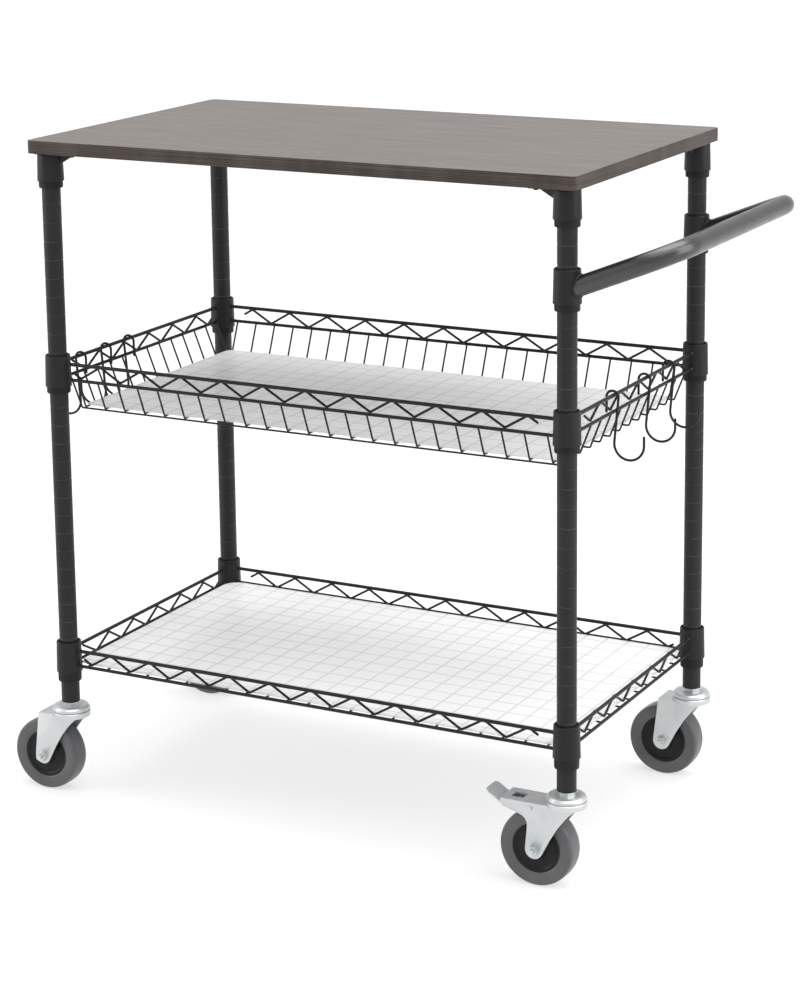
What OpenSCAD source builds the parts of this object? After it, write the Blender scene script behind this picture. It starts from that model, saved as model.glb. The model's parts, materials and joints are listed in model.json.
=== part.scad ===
// Wheeled wire shelf cart: a wood-grain tabletop, a wire basket and a wire shelf clamped to
// four grooved posts on swivel casters, with a tube handle at the right-hand end.
// +X runs along the length towards the handle, +Y to the back, +Z up.
// The origin lies on the floor, midway between the four posts.

/* [Posts] */
// Distance between post centres along the length
post_span_x = 756; // [600:1:900]
// Distance between post centres from front to back
post_span_y = 428; // [350:1:500]
// Outside diameter of a post
post_d = 25.4; // [25.4:0.1:25.4]
// Wall thickness of a post
post_wall = 1.4; // [1:0.1:2]
// Height of the bottom end of the posts above the floor
post_bottom = 133; // [133:1:133]
// Distance from one post groove to the next
groove_pitch = 25.4; // [25.4:0.1:25.4]
// Depth of a post groove
groove_depth = 0.5; // [0.5:0.1:0.9]

/* [Tabletop] */
// Length of the tabletop
top_length = 800; // [796:1:900]
// Depth of the tabletop from front to back
top_depth = 476; // [474:1:560]
// Thickness of the tabletop
top_thick = 17.5; // [15:0.5:25]
// Radius of the tabletop's corners
top_corner_r = 8; // [5:1:20]
// Thickness of the edge band
band_thick = 1.5; // [1:0.1:3]

/* [Shelves] */
// Grooves counted from the lowest one up to the shelf's collars
shelf_groove = 1; // [1:1:3]
// Grooves counted from the lowest one up to the basket's collars
basket_groove = 17; // [13:1:19]
// Grooves counted from the lowest one up to the handle's collars
handle_groove = 24; // [23:1:25]
// Distance between the upper and the lower rim wire
rim_gap = 21.6; // [20:0.2:26]
// Distance between neighbouring floor wires
wire_pitch = 31.75; // [31.75:0.25:31.75]
// Depth of the basket's floor below its lower rim wire
basket_drop = 43.5; // [30:0.5:60]
// How far the basket's floor is set in from the rim all round
basket_inset = 21; // [20:0.5:22]

/* [Wires] */
// Diameter of the upper rim wires
rim_d = 5; // [4:0.1:6]
// Diameter of the lower rim wires
low_rim_d = 4.6; // [4:0.1:5]
// Diameter of the zig-zag truss wires
truss_d = 3.4; // [3:0.1:3.6]
// Diameter of the floor and side wires
wire_d = 2.6; // [2:0.1:2.8]
// Thickness of the plastic liners
liner_thick = 1; // [0.8:0.1:2]

/* [Hooks] */
// Diameter of the hook wire
hook_d = 3.4; // [3:0.1:3.5]
// Places of the hooks on the handle end, from front to back
hook_y_right = [-67.5, 38.5, 123];
// Places of the hooks on the other end, from front to back
hook_y_left = [-162.5, -101, -43.5];

/* [Handle] */
// Outside diameter of the handle tube
handle_d = 25.4; // [22:0.1:26]
// Wall thickness of the handle tube
handle_wall = 1.5; // [1.2:0.1:2]
// Distance from the posts' centres out to the bar
handle_reach = 140; // [110:1:180]
// Angle at which the handle rises
handle_tilt = 22; // [15:1:30]
// Bend radius of the handle, to the middle of the tube
handle_bend = 55; // [45:1:80]

/* [Casters] */
// Diameter of a wheel
wheel_d = 101.6; // [101.6:0.1:101.6]
// Width of a tyre
tyre_w = 30; // [26:1:30]
// Diameter of a wheel's hub
hub_d = 66; // [60:1:70]
// Distance from the swivel axis back to the axle
trail = 37; // [36:0.5:38]
// How far the brake lever's rivet is behind the swivel axis
rivet_back = 43; // [43:1:43]

/* [Hidden] */
$fn = 48;
CORNERS = [[-1, -1], [1, -1], [-1, 1], [1, 1]];
NAMES = ["front_left", "front_right", "back_left", "back_right"];

// Colours
black = "#2b2b2c";
plastic = "#202021";
zinc = "#c9d0d3";
grey_rubber = "#6f6f72";
clear = "#e8ebeccc";
wood = "#6b5d55";

// Posts, collars and sleeves
post_r = post_d / 2;
half_x = post_span_x / 2;
half_y = post_span_y / 2;
first_groove = post_bottom + 39.4;
collar_h = 43;
collar_top_r = 17;
collar_bottom_r = 18;
collar_bore_top = 14.9;
collar_bore_bottom = 16.4;
ridge_below_top = 21.2;
ridge_up = collar_h - ridge_below_top;
sleeve_recess = 3;
sleeve_lip = 9.3;
shelf_sleeve_lip = 14;
sleeve_gap = 0.1;
slit_at = 235;
slit_angle = 6;
// height of the top of a collar whose sleeve grips groove g
function collar_top(g) = first_groove + g * groove_pitch + ridge_below_top;

// The tabletop rests on the brackets' plates, and their collars are shorter than the rest.
top_groove = basket_groove + 11;
bracket_plate = 2;
bracket_collar_h = 36.2;
bracket_top = collar_top(top_groove) - 4.3;
bracket_ridge = first_groove + top_groove * groove_pitch - bracket_top + bracket_collar_h;
post_top = bracket_top - 2;
board_bottom = bracket_top + bracket_plate;

// Rims
basket_high = collar_top(basket_groove) - 12;
basket_low = basket_high - rim_gap;
shelf_high = collar_top(shelf_groove) - 13.5;
shelf_low = shelf_high - rim_gap;
rim_r = rim_d / 2;
low_rim_r = low_rim_d / 2;
truss_r = truss_d / 2;
wire_r = wire_d / 2;
truss_inset = rim_r + truss_r;
truss_pitch = 2 * wire_pitch;

// Floor of the basket: the long wires lie below the cross wires
floor_low = basket_low - basket_drop;
floor_high = floor_low + wire_d;
bend_x = half_x - basket_inset;
bend_y = half_y - basket_inset;
long_count = 6;
cross_count = 11;
wire_bend = 3;

// Handle
handle_r = handle_d / 2;
handle_base = collar_top(handle_groove) - 27.5;

// Casters
wheel_r = wheel_d / 2;
fork_plate = 2.5;
fork_inner = 17.5;
fork_outer = fork_inner + fork_plate;
crown_low = 111;
crown_high = crown_low + fork_plate;
race_r = 26.5;
swivel_gap_low = 118.7;
swivel_gap_high = 119.5;
stem_r = 5;
running = 0.05;
ball_r = 2.5;
ball_ring = 17;
axle_r = 4;
spacer_r = 6.2;
boss_r = 12;
rivet_z = 106.2;
rivet_r = 2;

// ---------- helpers ----------

function unit(v) = v / norm(v);

// points of an arc about c, from angle a0 to a1 in n steps
function arc(c, r, a0, a1, n) = [
    for (i = [0:n])
        let (a = a0 + (a1 - a0) * i / n)
            c + r * [cos(a), sin(a)]
];

// one ring of points round a planar path of [x, z] points
function ring(path, i, r, sides) =
    let (
        last = len(path) - 1,
        into = i > 0 ? unit(path[i] - path[i - 1]) : unit(path[1] - path[0]),
        out = i < last ? unit(path[i + 1] - path[i]) : into,
        along = unit(into + out),
        miter = 1 / sqrt((1 + into * out) / 2)
    ) [
        for (k = [0:sides - 1])
            let (a = 360 * k / sides, n = r * miter * cos(a))
                [path[i][0] - n * along[1], r * sin(a), path[i][1] + n * along[0]]
    ];

// a round wire bent along a path in the XZ plane
module bent_wire(path, r, sides = 8) {
    rings = [for (i = [0:len(path) - 1]) each ring(path, i, r, sides)];
    last = sides * (len(path) - 1);
    faces = concat(
        [[for (k = [0:sides - 1]) k]],
        [[for (k = [sides - 1:-1:0]) last + k]],
        [
            for (i = [0:len(path) - 2], k = [0:sides - 1])
                let (a = i * sides + k, b = i * sides + (k + 1) % sides)
                    [a, a + sides, b + sides, b]
        ]
    );
    polyhedron(rings, faces, convexity = 6);
}

// a straight round bar between two points along X or Y
module bar_x(x0, x1, r) {
    translate([x0, 0, 0]) rotate([0, 90, 0]) cylinder(r = r, h = x1 - x0);
}

module bar_y(y0, y1, r) {
    translate([0, y1, 0]) rotate([90, 0, 0]) cylinder(r = r, h = y1 - y0);
}

module at_post(c) {
    translate([c[0] * half_x, c[1] * half_y, 0]) children();
}

module at_posts() {
    for (c = CORNERS) at_post(c) children();
}

// a plate with rounded corners, centred in X and Y
module rounded_plate(length, depth, thick, r) {
    x = length / 2 - r;
    y = depth / 2 - r;
    translate([-x, -y - r, 0]) cube([2 * x, 2 * (y + r), thick]);
    for (s = [-1, 1]) translate([s < 0 ? -x - r : x, -y, 0]) cube([r, 2 * y, thick]);
    for (q = [0:3]) {
        sx = (q == 0 || q == 3) ? 1 : -1;
        sy = q < 2 ? 1 : -1;
        translate([sx * x, sy * y, 0]) rotate([0, 0, 90 * q])
            rotate_extrude(angle = 90) square([r, thick]);
    }
}

// ---------- tabletop ----------

module tabletop() {
    color(wood) translate([0, 0, board_bottom])
        rounded_plate(top_length - 2 * band_thick, top_depth - 2 * band_thick, top_thick,
            top_corner_r - band_thick);
}

module edge_band() {
    color("#51463f") translate([0, 0, board_bottom]) difference() {
        rounded_plate(top_length, top_depth, top_thick, top_corner_r);
        translate([0, 0, -1])
            rounded_plate(top_length - 2 * band_thick, top_depth - 2 * band_thick,
                top_thick + 2, top_corner_r - band_thick);
    }
}

// the plate of a bracket reaches from outside the post to under the board
plate_out = 15;
plate_in = 46;
SCREWS = [[39, -6], [-6, 39], [33, 33]];

module gusset() {
    translate([0, 1.5, 0]) rotate([90, 0, 0]) linear_extrude(3)
        polygon([[16.5, 0], [36, 0], [36, -2], [17.2, -13], [16.5, -13]]);
}

module top_bracket(c) {
    color(black) at_post(c) {
        translate([0, 0, bracket_top - bracket_collar_h])
            collar_tube(bracket_collar_h);
        translate([0, 0, bracket_top]) mirror([c[0] > 0 ? 1 : 0, 0, 0])
            mirror([0, c[1] > 0 ? 1 : 0, 0]) difference() {
                union() {
                    linear_extrude(bracket_plate) polygon([
                        [-plate_out, -plate_out], [plate_in, -plate_out], [plate_in, 12],
                        [12 + 28, 40], [12, plate_in], [-plate_out, plate_in]
                    ]);
                    gusset();
                    rotate([0, 0, 90]) mirror([0, 1, 0]) gusset();
                }
                for (s = SCREWS) translate([s[0], s[1], -1])
                    cylinder(r = 2.3, h = bracket_plate + 2);
            }
    }
}

// pan-head wood screws, each standing in its bracket's hole and in the board
module bracket_screws() {
    color(black) for (c = CORNERS) at_post(c)
        mirror([c[0] > 0 ? 1 : 0, 0, 0]) mirror([0, c[1] > 0 ? 1 : 0, 0])
            for (s = SCREWS) translate([s[0], s[1], bracket_top])
                rotate_extrude() polygon([
                    [0, -2.6], [2.6, -2.6], [3.9, -1.2], [3.9, -0.02], [2.2, -0.02],
                    [2.2, bracket_plate - 0.02], [0, bracket_plate - 0.02]
                ]);
}

// ---------- posts ----------

groove_count = floor((post_top - first_groove - 2) / groove_pitch);

// outline of a post's wall, with a groove every inch
post_outline = concat(
    [[post_r - post_wall, post_bottom], [post_r, post_bottom]],
    [
        for (g = [0:groove_count])
            let (z = first_groove + g * groove_pitch)
                each [
                    [post_r, z - 0.9], [post_r - groove_depth, z - 0.5],
                    [post_r - groove_depth, z + 0.5], [post_r, z + 0.9]
                ]
    ],
    [[post_r, post_top], [post_r - post_wall, post_top]]
);

module post(c) {
    color(black) at_post(c) rotate_extrude() polygon(post_outline);
}

module post_caps() {
    cap_r = post_r - post_wall - sleeve_gap;
    color(plastic) at_posts() {
        translate([0, 0, post_top]) cylinder(r = post_r, h = 1.5);
        translate([0, 0, post_top - 12]) cylinder(r = cap_r, h = 12);
    }
}

socket_flange = 1.5;

module stem_sockets() {
    plug_r = post_r - post_wall - sleeve_gap;
    color(plastic) at_posts() difference() {
        union() {
            translate([0, 0, post_bottom - socket_flange])
                cylinder(r = post_r, h = socket_flange);
            translate([0, 0, post_bottom]) cylinder(r = plug_r, h = 34);
        }
        translate([0, 0, post_bottom - 2]) cylinder(r = stem_r + running, h = 40);
    }
}

// ---------- collars and the split sleeves that wedge in them ----------

module collar_tube(h) {
    rotate_extrude() polygon([
        [collar_bore_bottom, 0], [collar_bottom_r, 0], [collar_top_r, h - 0.6],
        [collar_top_r - 0.6, h], [collar_bore_top, h]
    ]);
}

// two half sleeves with a ridge that sits in the post's groove
module sleeve_halves(h, ridge, lip) {
    top = h - sleeve_recess;
    in_r = post_r + running;
    for (side = [0, 180]) rotate([0, 0, slit_at + side + slit_angle / 2])
        rotate_extrude(angle = 180 - slit_angle) polygon([
            [in_r, -lip], [15.6, -lip], [16.1, -lip + 1],
            [collar_bore_bottom - sleeve_gap, 0],
            [collar_bore_top - sleeve_gap + 0.12, top], [in_r, top],
            [in_r, ridge + 0.6], [post_r - 0.45, ridge + 0.35],
            [post_r - 0.45, ridge - 0.35], [in_r, ridge - 0.6]
        ]);
}

module sleeve_set(corners, g, lip = sleeve_lip) {
    color(plastic) for (c = corners) at_post(c)
        translate([0, 0, collar_top(g) - collar_h]) sleeve_halves(collar_h, ridge_up, lip);
}

module top_sleeves() {
    color(plastic) at_posts() translate([0, 0, bracket_top - bracket_collar_h])
        sleeve_halves(bracket_collar_h, bracket_ridge, sleeve_lip);
}

module collar_set(corners, g) {
    color(black) for (c = corners) at_post(c)
        translate([0, 0, collar_top(g) - collar_h]) collar_tube(collar_h);
}

RIGHT = [[1, -1], [1, 1]];

// ---------- handle ----------

// the tube's course, bent round to the bar across the end
module handle_course(r) {
    flat = handle_reach / cos(handle_tilt);
    straight = flat - handle_bend;
    translate([half_x, 0, handle_base]) rotate([0, -handle_tilt, 0]) {
        for (s = [-1, 1]) {
            translate([0, s * half_y, 0]) bar_x(0, straight, r);
            translate([straight, s * (half_y - handle_bend), 0])
                rotate([0, 0, s < 0 ? -90 : 0]) rotate_extrude(angle = 90)
                    translate([handle_bend, 0]) circle(r = r);
        }
        translate([flat, 0, 0]) bar_y(-half_y + handle_bend, half_y - handle_bend, r);
    }
}

// the ends are coped to sit against the collars
module handle_bar() {
    clear_of = 0.02;
    color(black) difference() {
        handle_course(handle_r);
        handle_course(handle_r - handle_wall);
        for (c = RIGHT) at_post(c) {
            translate([0, 0, collar_top(handle_groove) - collar_h])
                cylinder(r1 = collar_bottom_r + clear_of, r2 = collar_top_r + clear_of,
                    h = collar_h);
            translate([0, 0, handle_base - 60]) cylinder(r = collar_top_r, h = 120);
        }
    }
}

// ---------- rims and trusses ----------

// radius of a collar's outside at height z above its bottom
function collar_r_at(z) =
    collar_bottom_r + (collar_top_r - collar_bottom_r) * z / (collar_h - 0.6);

module rim_ring(z, g, r) {
    away = collar_r_at(z - collar_top(g) + collar_h);
    for (s = [-1, 1]) {
        translate([0, s * half_y, z]) bar_x(-half_x + away, half_x - away, r);
        translate([s * half_x, 0, z]) bar_y(-half_y + away, half_y - away, r);
    }
}

module rim(high, low, g) {
    color(black) {
        rim_ring(high, g, rim_r);
        rim_ring(low, g, low_rim_r);
    }
}

truss_over = 2;
truss_under = 1;

// height of the zig-zag at s, with a peak at s = peak
function truss_z(s, peak, low, high) =
    let (
        bottom = low + truss_over,
        top = high - truss_under,
        t = abs(((s - peak) / truss_pitch + 100.5) % 1 - 0.5) * 2
    ) top - (top - bottom) * t;

// turning points of the zig-zag between s0 and s1, each eased by a short flat
function truss_path(s0, s1, peak, low, high) =
    let (
        half = truss_pitch / 2,
        first = ceil((s0 + 2 - peak) / half),
        final = floor((s1 - 2 - peak) / half),
        ease = 1.3
    ) concat(
        [[s0, truss_z(s0, peak, low, high)]],
        [
            for (k = [first:final])
                let (s = peak + k * half)
                    each [
                        [s - ease, truss_z(s - ease, peak, low, high)],
                        [s + ease, truss_z(s + ease, peak, low, high)]
                    ]
        ],
        [[s1, truss_z(s1, peak, low, high)]]
    );

// sides in the order front, back, left, right: [start, end, place of one peak]
BASKET_TRUSS = [
    [-356, 337, 5.5], [-337, 352, -5.5], [-186, 176, 5.5], [-152, 192, 24.75]
];
SHELF_TRUSS = [
    [-356, 337, 5.5], [-337, 352, -5.5], [-186, 176, 5.5], [-168, 186, 10]
];

module truss(sides, low, high) {
    color(black) for (i = [0:3]) {
        s = (i % 2 == 0) ? -1 : 1;
        path = truss_path(sides[i][0], sides[i][1], sides[i][2], low, high);
        if (i < 2)
            translate([0, s * (half_y - truss_inset), 0]) bent_wire(path, truss_r);
        else
            translate([s * (half_x - truss_inset), 0, 0]) rotate([0, 0, 90])
                bent_wire(path, truss_r);
    }
}

// ---------- basket ----------

// half of a basket wire: from the middle of the floor out to its end on the lower rim
function basket_half(reach, floor_z, half) =
    let (
        corner = [reach, floor_z],
        pull = low_rim_r + wire_r,
        to_rim = [half, basket_low] - corner,
        lean = atan2(to_rim[1], to_rim[0]) + asin(pull / norm(to_rim)),
        up = [cos(lean), sin(lean)],
        setback = wire_bend * tan(lean / 2),
        centre = [reach - setback, floor_z + wire_bend],
        rise = basket_low + 0.6 - wire_r * cos(lean) - floor_z
    ) concat(
        arc(centre, wire_bend, -90, -90 + lean, 3),
        [corner + up * rise / sin(lean)]
    );

function basket_path(reach, floor_z, half) =
    let (right = basket_half(reach, floor_z, half), n = len(right) - 1)
        concat([for (i = [n:-1:0]) [-right[i][0], right[i][1]]], right);

module basket_long_wires() {
    color(black) for (k = [-long_count:long_count])
        translate([0, k * wire_pitch, 0])
            bent_wire(basket_path(bend_x, floor_low, half_x), wire_r);
}

module basket_cross_wires() {
    color(black) for (k = [-cross_count:cross_count])
        translate([k * wire_pitch, 0, 0]) rotate([0, 0, 90])
            bent_wire(basket_path(bend_y, floor_high, half_y), wire_r);
}

module basket_liner() {
    color(clear) translate([0, 0, floor_high + wire_r])
        rounded_plate(2 * (bend_x - 4), 2 * (bend_y - 4), liner_thick, 10);
}

// ---------- shelf ----------

// the wires end on the inner flank of the lower rim
shelf_wire_end = low_rim_r;

module shelf_long_wires() {
    end = half_x - shelf_wire_end;
    color(black) for (k = [-long_count:long_count])
        translate([0, k * wire_pitch, shelf_low - wire_d]) bar_x(-end, end, wire_r);
}

module shelf_cross_wires() {
    end = half_y - shelf_wire_end;
    color(black) for (k = [-cross_count:cross_count])
        translate([k * wire_pitch, 0, shelf_low]) bar_y(-end, end, wire_r);
}

module shelf_liner() {
    edge = 7;
    color(clear) translate([0, 0, shelf_low + wire_r])
        rounded_plate(2 * (half_x - edge), 2 * (half_y - edge), liner_thick, 24);
}

// ---------- S-hooks ----------

hook_r = hook_d / 2;
hook_top_c = [-2.2, -3.1];
hook_top_r = 8.3;
hook_low_c = [21, -63.5];
hook_low_r = 20.5;
hook_gap = hook_low_c - hook_top_c;
hook_lean = atan2(hook_gap[1], hook_gap[0])
    + acos((hook_top_r + hook_low_r) / norm(hook_gap));

// inner tip, over the rim wire, down the leg and round the big bend to the outer tip
hook_path = concat(
    [hook_top_c + [-hook_top_r, -21]],
    arc(hook_top_c, hook_top_r, 180, hook_lean, 10),
    arc(hook_low_c, hook_low_r, 180 + hook_lean, 360, 14),
    [hook_low_c + [hook_low_r, 13]]
);

module hook(side, y) {
    color(black) translate([side * half_x, y, basket_high])
        rotate([0, 0, side < 0 ? 180 : 0]) bent_wire(hook_path, hook_r);
}

// ---------- casters ----------

// stem with its hex collar above the race and its riveted head below the crown
module caster_stems() {
    color(zinc) at_posts() {
        translate([0, 0, 107]) cylinder(r = stem_r, h = 58);
        translate([0, 0, 107]) cylinder(r = 9, h = crown_low - 107 - 0.3);
        translate([0, 0, 124]) cylinder(r = 10.9, h = post_bottom - socket_flange - 124, $fn = 6);
    }
}

// dished upper race, fixed to the stem
module upper_races() {
    color(zinc) at_posts() rotate_extrude() polygon([
        [stem_r + running, 122], [22, 122], [23.6, swivel_gap_high], [25.6, swivel_gap_high],
        [26, 120.6], [25.4, 123], [23.5, 125.4], [20.5, 126.4], [17, 126], [13, 124],
        [stem_r + running, 124]
    ]);
}

module swivel_balls() {
    color(zinc) at_posts() for (k = [0:13])
        rotate([0, 0, k * 360 / 14]) translate([ball_ring, 0, 119]) sphere(r = ball_r);
}

module at_axle() {
    translate([-trail, 0, wheel_r]) rotate([90, 0, 0]) children();
}

// outline of a fork leg in the XZ plane, seen from the front
plain_leg = [
    [-42, crown_high], [-trail - boss_r, wheel_r + 2], [-trail - boss_r, wheel_r],
    [-trail, wheel_r - 4], [-26.2, wheel_r - 5.5], [-15, 67], [-4.5, 84.5], [6, 98.5],
    [13, 106], [17, 109.5], [17, crown_high]
];
// the braked leg has a horn that carries the lever
braked_leg = concat(
    [
        [-84, crown_high], [-84, 108], [-79.5, 102.8], [-60, 97.6], [-53, 95],
        [-48.5, 91], [-46.3, 85], [-46.5, 78]
    ],
    [for (i = [1:len(plain_leg) - 1]) plain_leg[i]]
);

module fork_leg(outline) {
    rotate([90, 0, 0]) linear_extrude(fork_plate, center = true) polygon(outline);
    at_axle() cylinder(r = boss_r, h = fork_plate, center = true);
}

module fork(c, braked) {
    back = braked ? 84 : 42;
    leg_y = fork_inner + fork_plate / 2;
    color(zinc) at_post(c) difference() {
        union() {
            translate([0, 0, crown_low]) cylinder(r = race_r, h = crown_high - crown_low);
            translate([-back, -fork_outer, crown_low])
                cube([back + 4, 2 * fork_outer, fork_plate]);
            rotate_extrude() polygon([
                [9, crown_high - 0.5], [race_r, crown_high - 0.5], [race_r, 117.6],
                [race_r - 1.1, swivel_gap_low], [23, swivel_gap_low], [21.5, 116.3],
                [12, 116.3], [9, crown_high]
            ]);
            for (s = [-1, 1]) translate([0, s * leg_y, 0])
                fork_leg(braked ? braked_leg : plain_leg);
        }
        translate([0, 0, crown_low - 1]) cylinder(r = stem_r + running, h = 9);
        at_axle() cylinder(r = axle_r + running, h = 60, center = true);
        if (braked) {
            translate([-74, -8, crown_low - 1]) cube([17, 16, 5]);
            translate([-rivet_back, 0, rivet_z]) rotate([90, 0, 0])
                cylinder(r = rivet_r + running, h = 60, center = true);
        }
    }
}

// axle bolt with its nut and spacer tube, and the lever's rivet on a braked caster
module fork_hardware(c, braked) {
    out = fork_outer;
    color(zinc) at_post(c) {
        at_axle() {
            translate([0, 0, -out - 5]) cylinder(r = 7.5, h = 5, $fn = 6);
            translate([0, 0, -out - 5]) cylinder(r = axle_r, h = 2 * out + 16);
            translate([0, 0, out]) cylinder(r = 7.5, h = 6.5, $fn = 6);
        }
        at_axle() difference() {
            cylinder(r = spacer_r, h = 2 * fork_inner, center = true);
            cylinder(r = axle_r + running, h = 2 * fork_inner + 2, center = true);
        }
        if (braked) translate([-rivet_back, 0, rivet_z]) rotate([90, 0, 0]) {
            cylinder(r = rivet_r, h = 2 * out, center = true);
            for (s = [-1, 1]) translate([0, 0, s * (out + 0.6)])
                cylinder(r = 3.4, h = 1.2, center = true);
        }
    }
}

// wheel halves are mirror images: outline of one side from the middle out
function both_sides(points) = concat(
    points,
    [for (i = [len(points) - 1:-1:0]) [points[i][0], -points[i][1]]]
);

module hub(c) {
    bore = spacer_r + running;
    color(plastic) at_post(c) at_axle() rotate_extrude() polygon(both_sides([
        [bore, 17.1], [12, 17.1], [13.5, 15.5], [15, 12.5], [20, 11.2], [27, 11.2],
        [29.5, 12.6], [hub_d / 2 - 0.5, 13], [hub_d / 2, 12.6]
    ]));
}

module tyre(c) {
    w = tyre_w / 2;
    color(grey_rubber) at_post(c) at_axle() rotate_extrude() polygon(both_sides([
        [hub_d / 2, 12.6], [hub_d / 2 + 1.2, w - 1.6], [39, w - 0.4], [46.8, w],
        [48.5, w - 0.6], [49.7, w - 2], [50.4, w - 4.5], [wheel_r, w - 8.5]
    ]));
}

// pressed-steel pedal: web and ears on the rivet, a shoe over the tyre, a tab to step on
module brake_lever(c) {
    ear = 17.2;
    web_z = 106.2;
    web = 1.8;
    shoe_gap = 4;
    color(zinc) at_post(c) difference() {
        union() {
            translate([-88, -ear, web_z]) cube([40, 2 * ear, web]);
            for (s = [-1, 1]) translate([0, s * (ear - 1), 0]) rotate([90, 0, 0])
                linear_extrude(2, center = true) polygon([
                    [-70, web_z], [-48, 102.7], [-rivet_back, 102.7], [-rivet_back + 3.5, 104.6],
                    [-rivet_back + 3.5, web_z + web], [-70, web_z + web]
                ]);
            translate([-65, -6, 96]) cube([7, 12, web_z - 95.5]);
            translate([-87.2, 0, web_z]) rotate([0, 33, 0]) {
                linear_extrude(web) {
                    translate([-17, -17]) square([17, 34]);
                    translate([-24, -10]) square([8, 20]);
                    for (s = [-1, 1]) translate([-17, s * 10]) circle(r = 7);
                }
                for (x = [-19, -13.5, -8]) translate([x, -12, web - 0.2]) cube([2, 24, 0.9]);
            }
        }
        at_axle() cylinder(r = wheel_r + shoe_gap, h = 20, center = true);
        translate([-rivet_back, 0, rivet_z]) rotate([90, 0, 0])
            cylinder(r = rivet_r + running, h = 40, center = true);
    }
}

// coil on the rivet with one leg that lies over the lever's web
module brake_spring(c) {
    coil = 0.8;
    turns = 9;
    inner = rivet_r + 0.1;
    profile = concat(
        [[inner, -turns * coil], [inner, turns * coil]],
        [
            for (k = [0:turns - 1])
                let (y = (turns - 2 * k) * coil)
                    each [[inner + coil, y - 0.05], [inner + 2 * coil, y - coil]]
        ],
        [[inner + coil, -turns * coil + 0.05]]
    );
    color(zinc) at_post(c) {
        translate([-rivet_back, 0, rivet_z]) rotate([90, 0, 0])
            rotate_extrude() polygon(profile);
        translate([0, -5, rivet_z + inner + coil]) bar_x(-67, -rivet_back, coil);
    }
}

// ---------- nodes ----------

tabletop();
edge_band();
bracket_screws();
post_caps();
stem_sockets();
top_sleeves();
sleeve_set(RIGHT, handle_groove);  // handle_sleeves
sleeve_set(CORNERS, basket_groove);  // basket_sleeves
sleeve_set(CORNERS, shelf_groove, shelf_sleeve_lip);  // shelf_sleeves
handle_bar();
collar_set(RIGHT, handle_groove);  // handle_collars
collar_set(CORNERS, basket_groove);  // basket_collars
rim(basket_high, basket_low, basket_groove);  // basket_rim
truss(BASKET_TRUSS, basket_low, basket_high);  // basket_truss
basket_long_wires();
basket_cross_wires();
basket_liner();
collar_set(CORNERS, shelf_groove);  // shelf_collars
rim(shelf_high, shelf_low, shelf_groove);  // shelf_rim
truss(SHELF_TRUSS, shelf_low, shelf_high);  // shelf_truss
shelf_long_wires();
shelf_cross_wires();
shelf_liner();
caster_stems();
upper_races();
swivel_balls();
for (i = [0:3]) {
    name = NAMES[i];
    c = CORNERS[i];
    braked = name == "front_right" || name == "back_left";
    top_bracket(c);
    post(c);
    fork(c, braked);
    fork_hardware(c, braked);
    hub(c);
    tyre(c);
    if (braked) brake_lever(c);
    if (braked) brake_spring(c);
}
for (i = [0:2]) {
    name = ["front", "middle", "back"][i];
    hook(1, hook_y_right[i]);
    hook(-1, hook_y_left[i]);
}
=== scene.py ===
"""Looks for the wire shelf cart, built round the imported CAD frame.

Every CAD piece gets a procedural material. The bent wires and the hooks are rebuilt as round
tubes. The edge band, the forks and the brackets are copies with eased edges. The welds are new.
"""
import json
import math

import bmesh
import bpy
from mathutils import Matrix, Vector

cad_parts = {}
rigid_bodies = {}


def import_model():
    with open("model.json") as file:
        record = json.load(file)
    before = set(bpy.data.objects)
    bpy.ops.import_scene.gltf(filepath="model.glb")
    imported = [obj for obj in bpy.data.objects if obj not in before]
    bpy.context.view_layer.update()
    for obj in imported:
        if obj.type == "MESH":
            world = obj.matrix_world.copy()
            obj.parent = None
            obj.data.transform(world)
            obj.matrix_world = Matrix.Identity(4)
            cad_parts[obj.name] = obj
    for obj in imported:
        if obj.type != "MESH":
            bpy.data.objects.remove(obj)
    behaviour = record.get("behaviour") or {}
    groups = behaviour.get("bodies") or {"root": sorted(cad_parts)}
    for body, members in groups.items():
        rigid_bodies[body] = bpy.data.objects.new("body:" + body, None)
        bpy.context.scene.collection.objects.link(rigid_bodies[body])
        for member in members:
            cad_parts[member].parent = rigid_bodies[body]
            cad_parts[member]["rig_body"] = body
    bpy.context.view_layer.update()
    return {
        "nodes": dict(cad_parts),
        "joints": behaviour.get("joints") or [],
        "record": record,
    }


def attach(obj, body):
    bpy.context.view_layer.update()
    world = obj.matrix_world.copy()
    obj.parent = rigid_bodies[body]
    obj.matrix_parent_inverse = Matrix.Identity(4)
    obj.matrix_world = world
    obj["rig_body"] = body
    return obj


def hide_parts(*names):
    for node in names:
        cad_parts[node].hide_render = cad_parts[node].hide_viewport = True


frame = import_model()
NODES = frame["nodes"]

MM = 0.001
X, Y, Z = range(3)
SIGNS = (-1, 1)
CORNERS = ("front_left", "front_right", "back_left", "back_right")
ROOT = "cart_frame"

# The rest of the sizes are in millimetres: first where the joints turn, then the driving
# sizes of the CAD source.
PIVOTS = {joint["name"]: [c / MM for c in joint["pos_m"]] for joint in frame["joints"]}
HALF_X, HALF_Y = PIVOTS["swivel_back_right"][:2]
FIRST_GROOVE, GROOVE_PITCH = 172.4, 25.4
SHELF_GROOVE, BASKET_GROOVE, HANDLE_GROOVE = 1, 17, 24
COLLAR_HEIGHT, COLLAR_CHAMFER, COLLAR_ABOVE_GROOVE = 43.0, 0.6, 21.2
COLLAR_TOP_R, COLLAR_BOTTOM_R = 17.0, 18.0
RIM_GAP = 21.6
RIM_R, LOW_RIM_R, TRUSS_R, WIRE_R, HOOK_R = 2.5, 2.3, 1.7, 1.3, 1.7
WIRE_PITCH = 31.75
TRUSS_PITCH = 2 * WIRE_PITCH
LONG_COUNT, CROSS_COUNT = 6, 11
BASKET_DROP, BASKET_INSET, WIRE_BEND = 43.5, 21.0, 3.0
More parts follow.
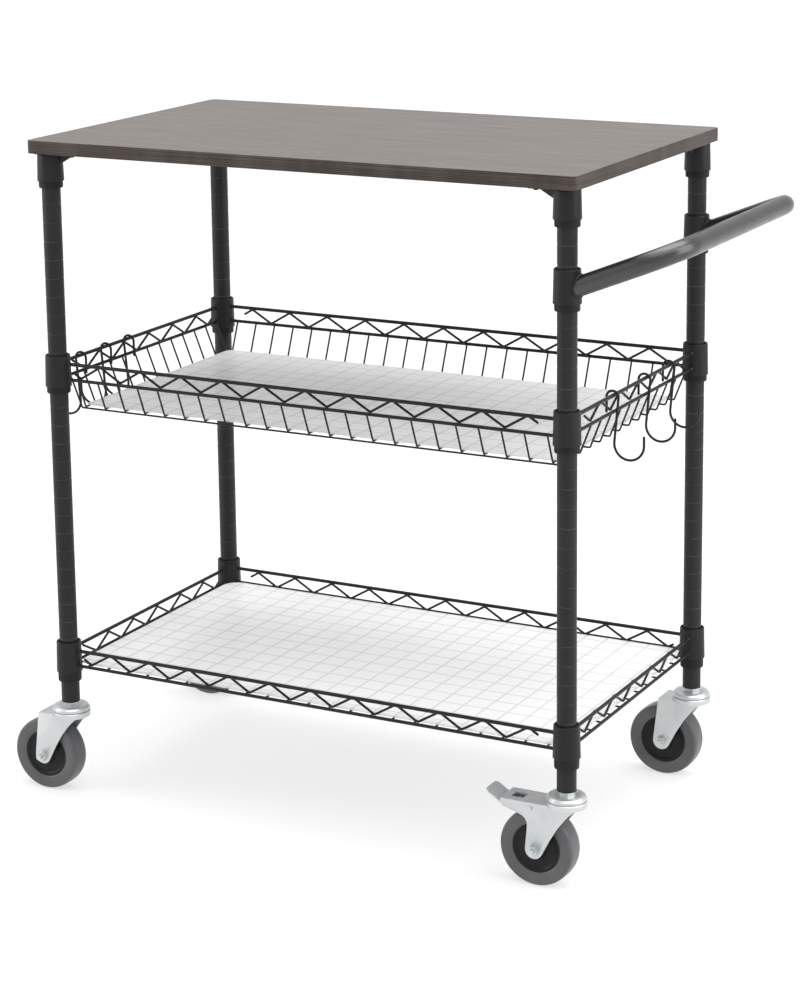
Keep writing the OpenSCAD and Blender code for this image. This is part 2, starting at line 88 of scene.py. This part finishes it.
HANDLE_R, HANDLE_TILT = 12.7, math.radians(22)


def collar_top(groove):
    """Height of the top of a collar whose sleeve grips this groove."""
    return FIRST_GROOVE + groove * GROOVE_PITCH + COLLAR_ABOVE_GROOVE


BASKET_HIGH = collar_top(BASKET_GROOVE) - 12
BASKET_LOW = BASKET_HIGH - RIM_GAP
SHELF_HIGH = collar_top(SHELF_GROOVE) - 13.5
SHELF_LOW = SHELF_HIGH - RIM_GAP
FLOOR_LOW = BASKET_LOW - BASKET_DROP
FLOOR_HIGH = FLOOR_LOW + 2 * WIRE_R
BEND_X, BEND_Y = HALF_X - BASKET_INSET, HALF_Y - BASKET_INSET
HANDLE_BASE = collar_top(HANDLE_GROOVE) - 27.5


# ---------------------------------------------------------------- materials


class Shader:
    """A Principled material with short calls for the nodes that feed it."""

    def __init__(self, name, **constants):
        self.material = bpy.data.materials.new(name)
        self.material.use_nodes = True
        self.tree = self.material.node_tree
        self.tree.nodes.clear()
        output = self.tree.nodes.new("ShaderNodeOutputMaterial")
        self.bsdf = self.tree.nodes.new("ShaderNodeBsdfPrincipled")
        self.tree.links.new(self.bsdf.outputs[0], output.inputs["Surface"])
        for key, value in constants.items():
            socket = key.replace("_", " ").title().replace("Ior", "IOR")
            self.bsdf.inputs[socket].default_value = value
        self.coord = self.tree.nodes.new("ShaderNodeTexCoord").outputs["Object"]

    def noise(self, scale, detail, stretch=(1, 1, 1), distortion=0.0, rough=0.5):
        mapping = self.tree.nodes.new("ShaderNodeMapping")
        mapping.inputs["Scale"].default_value = stretch
        self.tree.links.new(self.coord, mapping.inputs["Vector"])
        noise = self.tree.nodes.new("ShaderNodeTexNoise")
        noise.inputs["Scale"].default_value = scale
        noise.inputs["Detail"].default_value = detail
        noise.inputs["Roughness"].default_value = rough
        noise.inputs["Distortion"].default_value = distortion
        self.tree.links.new(mapping.outputs[0], noise.inputs["Vector"])
        return noise.outputs["Fac"]

    def ramp(self, factor, stops):
        ramp = self.tree.nodes.new("ShaderNodeValToRGB")
        elements = ramp.color_ramp.elements
        while len(elements) < len(stops):
            elements.new(0.5)
        for element, (place, colour) in zip(elements, stops):
            element.position = place
            element.color = (*colour, 1)
        self.tree.links.new(factor, ramp.inputs["Fac"])
        return ramp.outputs["Color"]

    def tones(self, factor, dark, light):
        """From dark, where the factor is under 0.3, to light, where it is over 0.7."""
        return self.ramp(factor, [(0.3, dark), (0.7, light)])

    def grey(self, factor, low, high):
        return self.tones(factor, (low,) * 3, (high,) * 3)

    def calc(self, operation, a, b=0.0, c=0.0):
        """A Math node; a, b and c are plain numbers or sockets."""
        node = self.tree.nodes.new("ShaderNodeMath")
        node.operation = operation
        for socket, value in zip(node.inputs, (a, b, c)):
            if isinstance(value, float):
                socket.default_value = value
            else:
                self.tree.links.new(value, socket)
        return node.outputs[0]

    def along(self, axis):
        split = self.tree.nodes.new("ShaderNodeSeparateXYZ")
        self.tree.links.new(self.coord, split.inputs[0])
        return split.outputs[axis]

    def lines(self, axis, pitch, half_width, fade, start=0.0):
        """1 on soft lines across an axis, one every pitch from start, and 0 between them."""
        turns = self.calc("MULTIPLY_ADD", self.along(axis), 1 / (pitch * MM), 0.5 - start / pitch)
        away = self.calc("ABSOLUTE", self.calc("SUBTRACT", self.calc("FRACT", turns), 0.5))
        rise = self.calc("SUBTRACT", (half_width + fade) / pitch, away)
        steep = self.calc("MULTIPLY", rise, pitch / fade)
        return self.calc("MINIMUM", self.calc("MAXIMUM", steep, 0.0), 1.0)

    def mix(self, factor, a, b, mode="MIX"):
        mix = self.tree.nodes.new("ShaderNodeMix")
        mix.data_type = "RGBA"
        mix.blend_type = mode
        if isinstance(factor, float):
            mix.inputs[0].default_value = factor
        else:
            self.tree.links.new(factor, mix.inputs[0])
        self.tree.links.new(a, mix.inputs[6])
        self.tree.links.new(b, mix.inputs[7])
        return mix.outputs[2]

    def finished(self, colour, roughness, relief, strength, depth):
        """The material, with its colour, its roughness and a bump of this relief."""
        bump = self.tree.nodes.new("ShaderNodeBump")
        bump.inputs["Strength"].default_value = strength
        bump.inputs["Distance"].default_value = depth
        self.tree.links.new(relief, bump.inputs["Height"])
        for source, target in (
            (colour, "Base Color"), (roughness, "Roughness"), (bump.outputs[0], "Normal"),
        ):
            self.tree.links.new(source, self.bsdf.inputs[target])
        return self.material


def coated(s, colour, rough, peel):
    """Faint handling marks and a fine orange peel, alike on all powder-coated steel."""
    marks = s.grey(s.noise(35, 5), rough - 0.05, rough + 0.07)
    return s.finished(colour, marks, s.noise(1400, 2), peel, 0.0002)


def powder_coat(name, dark, light, rough, shine=0.24, peel=0.06):
    s = Shader(name, metallic=0.0, specular_ior_level=shine)
    return coated(s, s.tones(s.noise(9, 4), dark, light), rough, peel)


def grooved_coat(name, dark, light, glint, rough):
    """Powder coat with a painted highlight along the grooves of a post: lighter lines that stand in
    for their glint.
    """
    s = Shader(name, metallic=0.0, specular_ior_level=0.24)
    coat = s.tones(s.noise(9, 4), dark, light)
    # The grooves' glint is a painted highlight: lighter lines mixed over the coat.
    dim_glint = tuple(0.5 * c for c in glint)
    painted_glint = s.ramp(s.noise(60, 3), [(0.35, dim_glint), (0.65, glint)])
    grooves = s.lines(Z, GROOVE_PITCH, half_width=0.6, fade=0.5, start=FIRST_GROOVE)
    below_first = (FIRST_GROOVE - 5) * MM
    grooves = s.calc("MULTIPLY", grooves, s.calc("GREATER_THAN", s.along(Z), below_first))
    return coated(s, s.mix(grooves, coat, painted_glint), rough, 0.06)


def moulded_plastic(name, dark, light, rough, grain=900):
    s = Shader(name, metallic=0.0, specular_ior_level=0.2)
    colour = s.tones(s.noise(25, 3), dark, light)
    gloss = s.grey(s.noise(60, 4), rough - 0.05, rough + 0.08)
    return s.finished(colour, gloss, s.noise(grain, 2), 0.12, 0.00015)


def laminate_top():
    """Grey-brown wood print: long figure, soft darker bands, fine pores."""
    s = Shader("laminate_wood", metallic=0.0, specular_ior_level=0.3)
    wood = s.ramp(
        s.noise(3.0, 7, stretch=(1.1, 12, 4), distortion=1.2, rough=0.62),
        [
            (0.22, (0.097, 0.082, 0.075)),
            (0.42, (0.109, 0.094, 0.086)),
            (0.58, (0.117, 0.102, 0.094)),
            (0.80, (0.130, 0.114, 0.105)),
        ],
    )
    pores = s.ramp(
        s.noise(9, 4, stretch=(5, 130, 20), distortion=0.3),
        [(0.36, (0.62, 0.59, 0.57)), (0.5, (1, 1, 1))],
    )
    clouds = s.tones(s.noise(2.2, 2), (0.86, 0.86, 0.88), (1.0, 0.98, 0.95))
    colour = s.mix(0.8, s.mix(0.35, wood, pores, "MULTIPLY"), clouds, "MULTIPLY")
    gloss = s.grey(s.noise(12, 5, stretch=(1, 14, 4)), 0.40, 0.52)
    grain = s.noise(10, 4, stretch=(5, 120, 20))
    return s.finished(colour, gloss, grain, 0.10, 0.0003)


def edge_stripes():
    """Edge band printed with fine plies that run round the board."""
    s = Shader("edge_band_wood", metallic=0.0, specular_ior_level=0.25)
    streaks = s.noise(4.2, 4, stretch=(0.9, 0.9, 130), distortion=0.25, rough=0.7)
    wood = s.ramp(
        streaks,
        [
            (0.38, (0.012, 0.008, 0.007)),
            (0.47, (0.022, 0.015, 0.013)),
            (0.53, (0.036, 0.026, 0.022)),
            (0.62, (0.072, 0.056, 0.050)),
        ],
    )
    tint = s.ramp(s.noise(7, 3), [(0.35, (0.86, 0.80, 0.78)), (0.65, (1.0, 1.0, 1.0))])
    wood = s.mix(0.7, wood, tint, "MULTIPLY")
    glue = s.tones(
        s.noise(30, 3, stretch=(1, 1, 0.2)), (0.046, 0.032, 0.027), (0.092, 0.075, 0.067)
    )
    plies = s.lines(Z, 2.1, half_width=0.2, fade=0.6)
    return s.finished(s.mix(plies, wood, glue), s.grey(streaks, 0.42, 0.58), streaks, 0.12, 0.0003)


def milky_sheet():
    """Milky polypropylene, with painted shade in soft lines where the floor wires it rests on show
    through.
    """
    s = Shader("milky_liner", metallic=0.0, specular_ior_level=0.35, alpha=0.84)
    sheet = s.tones(s.noise(5, 3), (0.835, 0.836, 0.840), (0.855, 0.857, 0.861))
    # Painted shade: darker lines over the floor wires, where they show through the sheet.
    wire = s.tones(s.noise(18, 3), (0.58, 0.585, 0.59), (0.66, 0.663, 0.668))
    across, along = (s.lines(axis, WIRE_PITCH, half_width=0.5, fade=1.5) for axis in (X, Y))
    colour = s.mix(s.calc("MAXIMUM", across, along), sheet, wire)
    gloss = s.grey(s.noise(40, 4), 0.36, 0.48)
    return s.finished(colour, gloss, s.noise(120, 3), 0.04, 0.0004)


def zinc_plate():
    """Bright zinc: bluish, with faint warm patches and fine drawing marks."""
    s = Shader("bright_zinc", metallic=0.8)
    colour = s.ramp(
        s.noise(28, 5, rough=0.6),
        [
            (0.30, (0.505, 0.530, 0.545)),
            (0.50, (0.560, 0.580, 0.588)),
            (0.70, (0.610, 0.615, 0.606)),
        ],
    )
    gloss = s.grey(s.noise(70, 5), 0.30, 0.42)
    return s.finished(colour, gloss, s.noise(500, 3), 0.03, 0.0002)


def tyre_rubber():
    s = Shader("grey_tyre_rubber", metallic=0.0, specular_ior_level=0.45)
    colour = s.tones(s.noise(22, 4), (0.066, 0.065, 0.069), (0.090, 0.088, 0.093))
    gloss = s.grey(s.noise(45, 4), 0.28, 0.42)
    return s.finished(colour, gloss, s.noise(700, 3), 0.15, 0.0002)


COAT = powder_coat("black_powder_coat", (0.0080, 0.0080, 0.0084), (0.0110, 0.0110, 0.0115), 0.42)
# The posts carry a painted highlight in their grooves, in the glint colour.
POST_COAT = grooved_coat(
    "post_powder_coat",
    dark=(0.0105, 0.0105, 0.0110), light=(0.0140, 0.0140, 0.0145), glint=(0.046, 0.044, 0.042),
    rough=0.42,
)
WIRE_COAT = powder_coat(
    "wire_powder_coat", (0.0085, 0.0075, 0.0068), (0.0125, 0.0112, 0.0100), 0.38
)
HANDLE_COAT = powder_coat(
    "handle_powder_coat", (0.0065, 0.0065, 0.0070), (0.0095, 0.0095, 0.0100), 0.27,
    shine=0.85, peel=0.0,
)
SLEEVE = moulded_plastic("sleeve_plastic", (0.0060, 0.0060, 0.0064), (0.0090, 0.0090, 0.0095), 0.46)
HUB = moulded_plastic("hub_plastic", (0.0055, 0.0055, 0.0060), (0.0085, 0.0085, 0.0090), 0.40, 700)

SLOT_MATERIAL = {
    "laminate": laminate_top(),
    "edge_band": edge_stripes(),
    "black_steel": COAT,
    "black_plastic": SLEEVE,
    "liner": milky_sheet(),
    "zinc": zinc_plate(),
    "grey_tyre": tyre_rubber(),
}
SLOT_OF = {part["node"]: part["material_slot"] for part in frame["record"]["subparts"]}


def material_for(node):
    if node.startswith("hub_"):
        return HUB
    if node == "handle_bar":
        return HANDLE_COAT
    if node.startswith("post_") and node != "post_caps":
        return POST_COAT
    if node.endswith(("_rim", "_truss", "_wires")) or node.startswith("hook_"):
        return WIRE_COAT
    return SLOT_MATERIAL[SLOT_OF[node]]


def paint(obj, material):
    obj.data.materials.clear()
    obj.data.materials.append(material)


def shade(obj, sharp_degrees):
    """Smooth shading, apart from edges sharper than this angle."""
    obj.data.shade_smooth()
    obj.data.set_sharp_from_angle(angle=math.radians(sharp_degrees))


for node_name, node_object in NODES.items():
    paint(node_object, material_for(node_name))
    if node_name.startswith("tyre_") or node_name == "handle_bar":
        shade(node_object, 18)


# ---------------------------------------------------------------- mesh tools


def add_to_scene(name, data):
    obj = bpy.data.objects.new(name, data)
    bpy.context.scene.collection.objects.link(obj)
    return obj


def dress(obj, material, body, node, sharp_degrees):
    """Finish of a new piece: it rides on a body and may stand for a CAD node."""
    paint(obj, material)
    shade(obj, sharp_degrees)
    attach(obj, body)
    if node:
        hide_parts(node)


def steel_object(name, verts, faces, body=ROOT, node=None, coat=WIRE_COAT, sharp_degrees=40):
    """A new black steel piece from verts in millimetres."""
    mesh = bpy.data.meshes.new(name)
    mesh.from_pydata([Vector(v) * MM for v in verts], [], faces)
    mesh.update()
    work = bmesh.new()
    work.from_mesh(mesh)
    bmesh.ops.recalc_face_normals(work, faces=work.faces)
    work.to_mesh(mesh)
    work.free()
    dress(add_to_scene(name, mesh), coat, body, node, sharp_degrees)


def skin(faces, base, rings, sides, closed=False):
    """Faces over rings of points that follow one another from base, capped unless closed."""
    for i in range(rings if closed else rings - 1):
        here, there = base + i * sides, base + (i + 1) % rings * sides
        for k in range(sides):
            m = (k + 1) % sides
            faces.append((here + k, here + m, there + m, there + k))
    if not closed:
        last = base + (rings - 1) * sides
        faces.append(tuple(base + k for k in reversed(range(sides))))
        faces.append(tuple(last + k for k in range(sides)))


def frames_along(points, closed):
    """Tangent and a carried-along normal at each point of a path."""
    count = len(points)
    tangents = []
    for i in range(count):
        if closed:
            step = points[(i + 1) % count] - points[i - 1]
        else:
            step = points[min(i + 1, count - 1)] - points[max(i - 1, 0)]
        tangents.append(step.normalized())
    normals = [tangents[0].orthogonal().normalized()]
    for before, after in zip(tangents, tangents[1:]):
        turn = before.rotation_difference(after)
        normals.append((turn @ normals[-1]).normalized())
    return tangents, normals


def tube(verts, faces, points, radius, sides=12, closed=False, round_end=0.35):
    """Adds a round wire along a path; its ends lose round_end of their radius."""
    points = [Vector(p) for p in points]
    radii = [radius] * len(points)
    if not closed:
        nip = radius * round_end
        head = points[0] + (points[1] - points[0]).normalized() * nip
        tail = points[-1] + (points[-2] - points[-1]).normalized() * nip
        points = [points[0], head, *points[1:-1], tail, points[-1]]
        radii = [radius - nip, *radii, radius - nip]
    base = len(verts)
    for point, tangent, normal, r in zip(points, *frames_along(points, closed), radii):
        side = tangent.cross(normal)
        for k in range(sides):
            a = 2 * math.pi * k / sides
            verts.append(point + (normal * math.cos(a) + side * math.sin(a)) * r)
    skin(faces, base, len(points), sides, closed)


def arc(centre_x, centre_z, r, start, end, steps):
    """Points of an arc, its angles in degrees."""
    angles = [math.radians(start + (end - start) * i / steps) for i in range(steps + 1)]
    return [(centre_x + r * math.cos(a), centre_z + r * math.sin(a)) for a in angles]


def fillet(points, radius, steps=5):
    """Rounds the corners of a planar path of (s, z) points."""
    out = [points[0]]
    for a, b, c in zip(points, points[1:], points[2:]):
        p, q, r = Vector(a), Vector(b), Vector(c)
        u, v = (p - q).normalized(), (r - q).normalized()
        half = u.angle(v) / 2
        back = radius / math.tan(half)
        centre = q + (u + v).normalized() * (radius / math.sin(half))
        start, end = q + u * back, q + v * back
        a0 = math.atan2(*(start - centre).yx)
        a1 = math.atan2(*(end - centre).yx)
        turn = (a1 - a0 + math.pi) % (2 * math.pi) - math.pi
        out += arc(*centre, radius, math.degrees(a0), math.degrees(a0 + turn), steps)
    out.append(points[-1])
    return out


def in_xz(path, y):
    return [(s, y, z) for s, z in path]


def in_yz(path, x):
    return [(x, s, z) for s, z in path]


# ---------------------------------------------------------------- wires

# Where each side's zig-zag starts and ends, and one of its peaks: front, back, left, right
BASKET_TRUSS = [(-356, 337, 5.5), (-337, 352, -5.5), (-186, 176, 5.5), (-152, 192, 24.75)]
SHELF_TRUSS = [(-356, 337, 5.5), (-337, 352, -5.5), (-186, 176, 5.5), (-168, 186, 10)]


def truss_zigzag(start, end, peak, low, high):
    """Zig-zag between the rims, with the same turning points as the CAD solid."""
    bottom, top = low + 2.0, high - 1.0
    bend_r = 4.2
    shortest_end = 2
    half = TRUSS_PITCH / 2

    def height(s):
        down = abs(((s - peak) / TRUSS_PITCH + 0.5) % 1 - 0.5) * 2
        return top - (top - bottom) * down

    first = math.ceil((start + shortest_end - peak) / half)
    final = math.floor((end - shortest_end - peak) / half)
    stops = [start, *(peak + k * half for k in range(first, final + 1)), end]
    return fillet([(s, height(s)) for s in stops], bend_r)


def build_truss(node, sides, low, high):
    verts, faces = [], []
    inset = RIM_R + TRUSS_R
    planes = [(in_xz, -HALF_Y + inset), (in_xz, HALF_Y - inset)]
    planes += [(in_yz, -HALF_X + inset), (in_yz, HALF_X - inset)]
    for (start, end, peak), (in_plane, offset) in zip(sides, planes):
        path = truss_zigzag(start, end, peak, low, high)
        tube(verts, faces, in_plane(path, offset), TRUSS_R)
    steel_object(node + "_wire", verts, faces, node=node)


def basket_half(reach, floor_z, half):
    """From the middle of the basket's floor out to the end on the lower rim."""
    pull = LOW_RIM_R + WIRE_R
    past_rim = 0.6
    dx, dz = half - reach, BASKET_LOW - floor_z
    lean = math.atan2(dz, dx) + math.asin(pull / math.hypot(dx, dz))
    setback = WIRE_BEND * math.tan(lean / 2)
    centre = (reach - setback, floor_z + WIRE_BEND)
    bend = arc(*centre, WIRE_BEND, -90, -90 + math.degrees(lean), 7)
    far = (BASKET_LOW + past_rim - WIRE_R * math.cos(lean) - floor_z) / math.sin(lean)
    return bend + [(reach + math.cos(lean) * far, floor_z + math.sin(lean) * far)]


def build_basket_wires(direction, count, in_plane, reach, floor_z, half):
    """One set of parallel wires, bent up at both ends, count of them each side of the middle."""
    right = basket_half(reach, floor_z, half)
    path = [(-s, z) for s, z in reversed(right)] + right
    verts, faces = [], []
    for k in range(-count, count + 1):
        tube(verts, faces, in_plane(path, k * WIRE_PITCH), WIRE_R, 10)
    steel_object(
        f"basket_{direction}_wire_set", verts, faces, node=f"basket_{direction}_wires"
    )


def hook_path():
    """The S-hook's course in its own plane: u outward, w up, from the rim wire's middle."""
    top_u, top_w, top_r, short_leg = -2.2, -3.1, 8.3, 21
    low_u, low_w, low_r, tip = 21.0, -63.5, 20.5, 13
    du, dw = low_u - top_u, low_w - top_w
    cross_over = math.acos((top_r + low_r) / math.hypot(du, dw))
    lean = math.degrees(math.atan2(dw, du) + cross_over)
    return (
        [(top_u - top_r, top_w - short_leg)]
        + arc(top_u, top_w, top_r, 180, lean, 18)
        + arc(low_u, low_w, low_r, 180 + lean, 360, 28)
        + [(low_u + low_r, low_w + tip)]
    )


def build_hooks():
    for side, outward in (("right", 1), ("left", -1)):
        for place in ("front", "middle", "back"):
            name = f"hook_{side}_{place}"
            x, y, z = PIVOTS[name + "_swing"]
            course = [(x + outward * u, y, z + w) for u, w in hook_path()]
            verts, faces = [], []
            tube(verts, faces, course, HOOK_R, 14, round_end=0.5)
            steel_object(name + "_wire", verts, faces, body=name, node=name)


build_truss("basket_truss", BASKET_TRUSS, BASKET_LOW, BASKET_HIGH)
build_truss("shelf_truss", SHELF_TRUSS, SHELF_LOW, SHELF_HIGH)
build_basket_wires("long", LONG_COUNT, in_xz, BEND_X, FLOOR_LOW, HALF_X)
build_basket_wires("cross", CROSS_COUNT, in_yz, BEND_Y, FLOOR_HIGH, HALF_Y)
build_hooks()


# ---------------------------------------------------------------- welds


def weld_ring(verts, faces, centre, axis, wire_r):
    """A small lumpy fillet of weld round a wire where it meets a collar."""
    root, spread, depth, lip = 0.8, 1.3, 2.2, 0.02
    sides = 14
    axis = Vector(axis).normalized()
    u = axis.orthogonal().normalized()
    v = axis.cross(u)
    profile = [(-root, spread), (0.0, spread), (depth * 0.35, spread * 0.5), (depth, lip)]
    base = len(verts)
    for along, swell in profile:
        for k in range(sides):
            a = 2 * math.pi * k / sides
            lump = 1 + 0.10 * math.sin(3 * a + centre[X]) + 0.06 * math.sin(5 * a + centre[Y])
            reach = wire_r + swell * lump
            spoke = u * math.cos(a) + v * math.sin(a)
            verts.append(Vector(centre) + axis * along + spoke * reach)
    skin(faces, base, len(profile), sides)


def collar_radius(up):
    """Outside radius of a collar at a height above its bottom."""
    return COLLAR_BOTTOM_R + (COLLAR_TOP_R - COLLAR_BOTTOM_R) * up / (COLLAR_HEIGHT - COLLAR_CHAMFER)


def build_rim_welds(name, groove, high, low):
    verts, faces = [], []
    collar_bottom = collar_top(groove) - COLLAR_HEIGHT
    for z, r in ((high, RIM_R), (low, LOW_RIM_R)):
        away = collar_radius(z - collar_bottom)
        for sx in SIGNS:
            for sy in SIGNS:
                along_x = (sx * (HALF_X - away), sy * HALF_Y, z)
                along_y = (sx * HALF_X, sy * (HALF_Y - away), z)
                weld_ring(verts, faces, along_x, (-sx, 0, 0), r)
                weld_ring(verts, faces, along_y, (0, -sy, 0), r)
    steel_object(name, verts, faces, sharp_degrees=60)


def build_handle_welds():
    """A bead along the curve where each handle arm meets its collar."""
    verts, faces = [], []
    collar_r, bead_r, wobble, steps = 17.6, 2.0, 0.25, 40
    direction = Vector((math.cos(HANDLE_TILT), 0, math.sin(HANDLE_TILT)))
    up = Vector((-math.sin(HANDLE_TILT), 0, math.cos(HANDLE_TILT)))
    across = Vector((0, 1, 0))
    for sy in SIGNS:
        foot = Vector((HALF_X, sy * HALF_Y, HANDLE_BASE))
        course = []
        for k in range(steps):
            a = 2 * math.pi * k / steps
            ring = (up * math.cos(a) + across * math.sin(a)) * HANDLE_R
            on_collar = math.sqrt(collar_r**2 - ring.y**2)
            out = (on_collar - ring.x) / direction.x + wobble * math.sin(9 * a)
            course.append(foot + ring + direction * out)
        tube(verts, faces, course, bead_r, 10, closed=True)
    steel_object("handle_welds", verts, faces, coat=COAT, sharp_degrees=60)


build_rim_welds("basket_rim_welds", BASKET_GROOVE, BASKET_HIGH, BASKET_LOW)
build_rim_welds("shelf_rim_welds", SHELF_GROOVE, SHELF_HIGH, SHELF_LOW)
build_handle_welds()


# ---------------------------------------------------------------- eased edges


def soften(node, width, sharp_degrees):
    """A copy of a CAD node with its sharp edges eased, standing for that node."""
    source = NODES[node]
    mesh = source.data.copy()
    work = bmesh.new()
    work.from_mesh(mesh)
    bmesh.ops.remove_doubles(work, verts=work.verts, dist=1e-6)
    bmesh.ops.dissolve_limit(
        work, angle_limit=math.radians(0.5), verts=work.verts, edges=work.edges
    )
    sharp = [
        edge for edge in work.edges
        if len(edge.link_faces) == 2 and edge.calc_face_angle(0) > math.radians(sharp_degrees)
    ]
    bmesh.ops.bevel(
        work, geom=sharp, offset=width * MM, segments=2, profile=0.5, affect="EDGES",
        clamp_overlap=True,
    )
    work.to_mesh(mesh)
    work.free()
    part = add_to_scene(node + "_part", mesh)
    dress(part, material_for(node), source["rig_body"], node, 35)


soften("edge_band", 0.5, 60)
for corner in CORNERS:
    soften("fork_" + corner, 0.35, 35)
    soften("top_bracket_" + corner, 0.3, 40)


# ---------------------------------------------------------------- stage, light, camera, in metres


def floor_material():
    s = Shader(
        "studio_floor", metallic=0.0, roughness=0.75, specular_ior_level=0.15,
        emission_color=(1, 1, 1, 1), emission_strength=0.62,
    )
    pale = s.grey(s.noise(0.4, 2), 0.31, 0.33)
    s.tree.links.new(pale, s.bsdf.inputs["Base Color"])
    return s.material


bpy.ops.mesh.primitive_plane_add(size=90, location=(0, 0, 0))
floor = bpy.context.object
floor.name = "studio_floor"
paint(floor, floor_material())


def softbox(name, place, target, size, power):
    data = bpy.data.lights.new(name, "AREA")
    data.shape = "RECTANGLE"
    data.size, data.size_y = size
    data.energy = power
    lamp = add_to_scene(name, data)
    lamp.location = place
    lamp.rotation_mode = "QUATERNION"
    lamp.rotation_quaternion = (Vector(target) - Vector(place)).to_track_quat("-Z", "Y")


softbox("overhead_softbox", (0.2, 0.6, 3.4), target=(0, 0, 0.4), size=(3.0, 2.2), power=60)
softbox("right_softbox", (2.9, 0.3, 1.7), target=(0.4, 0, 0.8), size=(1.8, 2.6), power=46)
softbox("left_softbox", (-3.0, -1.8, 1.4), target=(0, 0, 0.5), size=(1.6, 2.2), power=30)

sun = bpy.data.lights.new("soft_sky", "SUN")
sun.energy = 1.7
sun.angle = math.radians(70)
add_to_scene("soft_sky", sun).rotation_euler = (math.radians(8), math.radians(14), 0)

world = bpy.data.worlds.new("studio_world")
world.use_nodes = True
background = world.node_tree.nodes["Background"]
background.inputs["Color"].default_value = (1, 1, 1, 1)
background.inputs["Strength"].default_value = 0.84
bpy.context.scene.world = world
bpy.context.scene.view_settings.view_transform = "Standard"


def aimed(place, yaw, pitch, roll):
    """Matrix of a camera turned by yaw, tipped down by pitch and then rolled, in degrees."""
    yaw, pitch, roll = map(math.radians, (yaw, pitch, roll))
    right = Vector((math.cos(yaw), math.sin(yaw), 0))
    level = Vector((-math.sin(yaw), math.cos(yaw), 0))
    forward = level * math.cos(pitch) - Vector((0, 0, math.sin(pitch)))
    upward = right.cross(forward)
    axis_x = right * math.cos(roll) + upward * math.sin(roll)
    axis_y = upward * math.cos(roll) - right * math.sin(roll)
    turned = Matrix((axis_x, axis_y, -forward)).transposed().to_4x4()
    return Matrix.Translation(place) @ turned


camera_data = bpy.data.cameras.new("camera")
camera_data.lens = 95.89
camera_data.sensor_width = 36
camera_data.shift_y = -0.18
camera_data.clip_end = 200
camera = add_to_scene("camera", camera_data)
camera.matrix_world = aimed((1.6776, -3.1189, 1.4091), yaw=27.775, pitch=11.871, roll=-0.679)
bpy.context.scene.camera = camera

bpy.context.view_layer.update()
